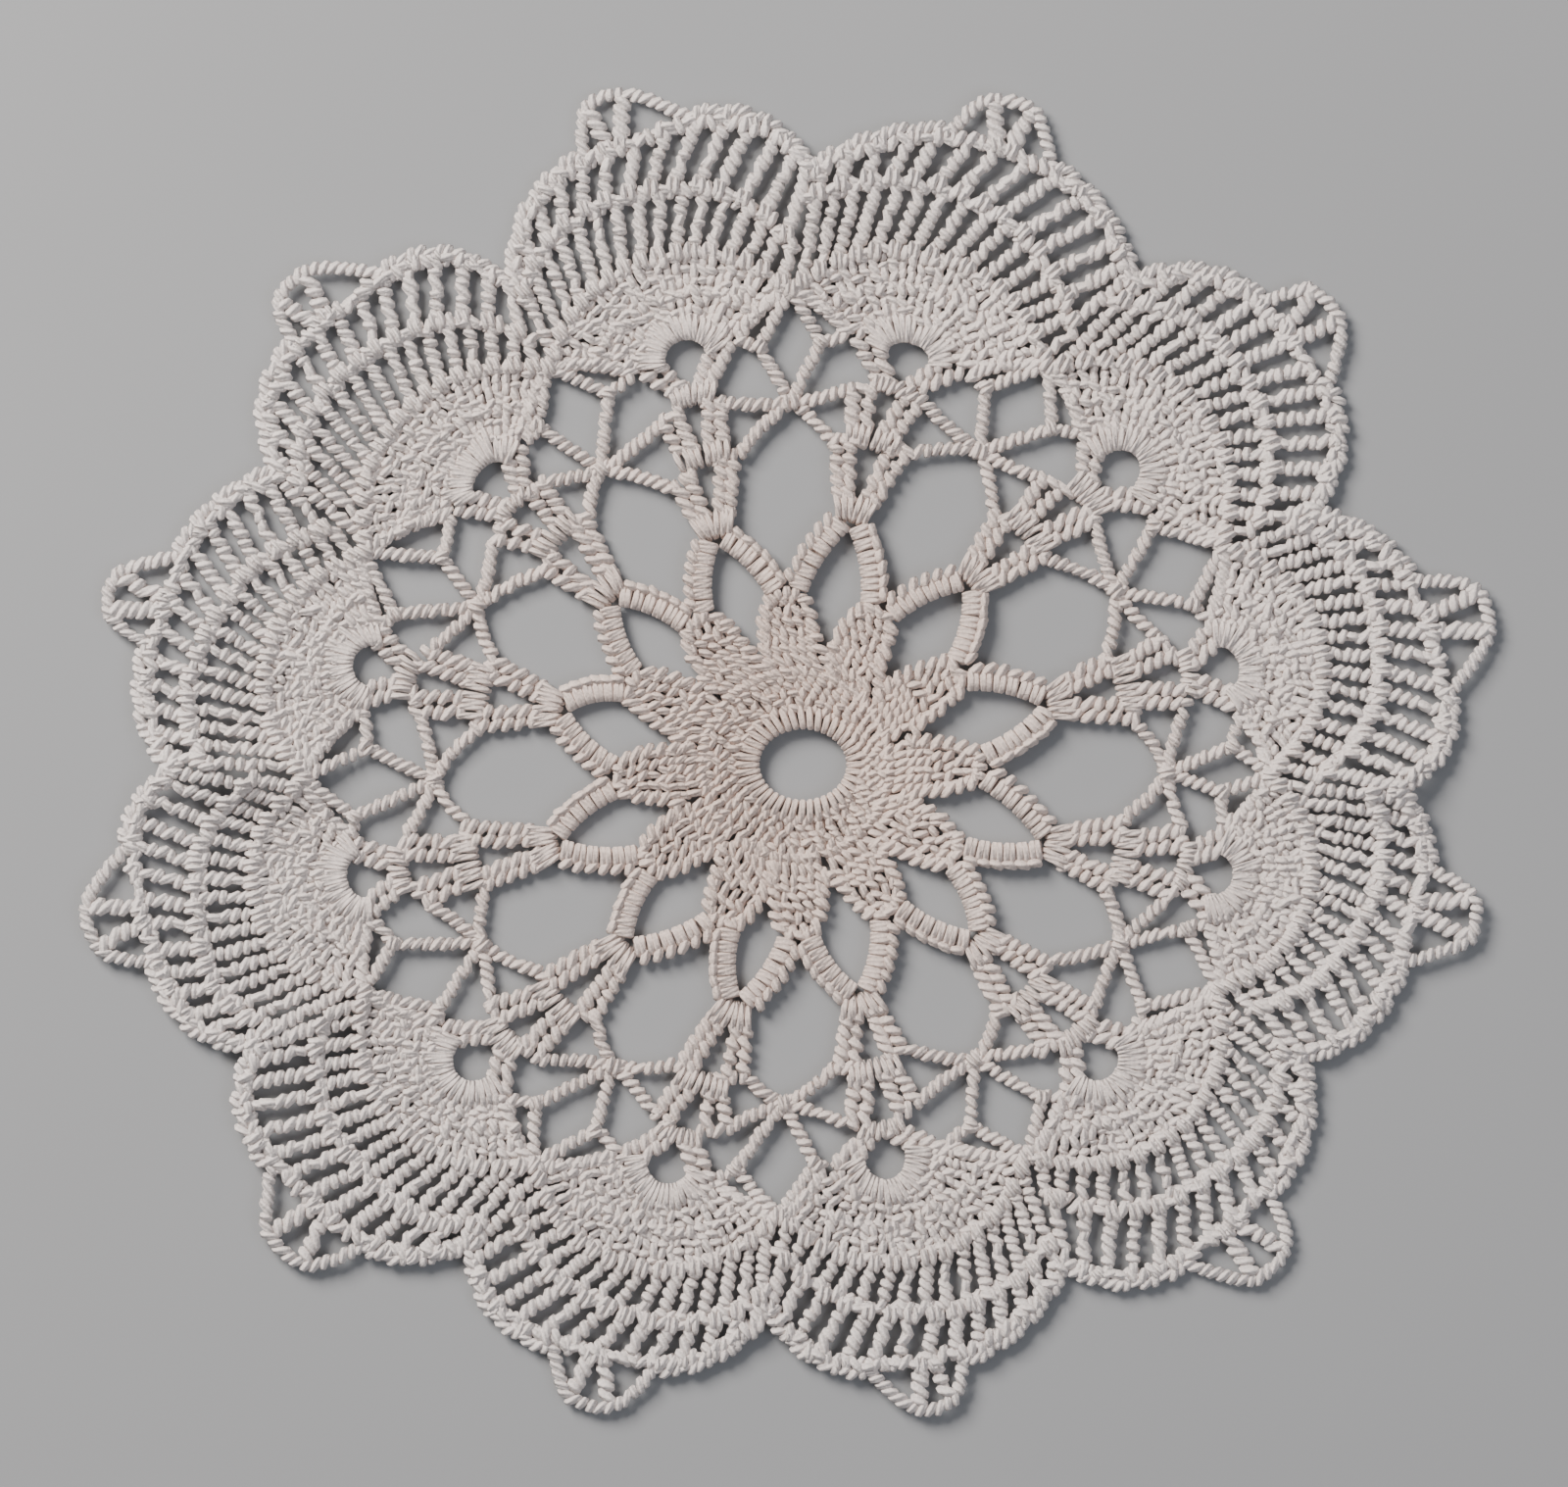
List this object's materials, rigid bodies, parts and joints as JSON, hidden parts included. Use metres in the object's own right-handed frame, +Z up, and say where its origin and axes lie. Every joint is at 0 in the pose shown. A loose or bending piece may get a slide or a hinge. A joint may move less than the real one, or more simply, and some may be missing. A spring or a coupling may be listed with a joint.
{
  "type": "lace doily",
  "caption": "Round lace doily crocheted in cotton: an open ring, petals, columns of shells, a net of chains between them, and fans with pointed loops at the rim.",
  "frame": {"origin": "middle of the doily's length and width, on the surface that it lies on", "axes": "+Z up, out of the doily's face; +X along its longest extent, to the right in the picture; +Y to the top of the picture"},
  "size_m": [0.239, 0.224, 0.0022],
  "materials": {
    "crochet_cotton": "matte cream plied crochet cotton"
  },
  "bodies": {
    "root": {"doily": "crochet_cotton"}
  },
  "joints": []
}
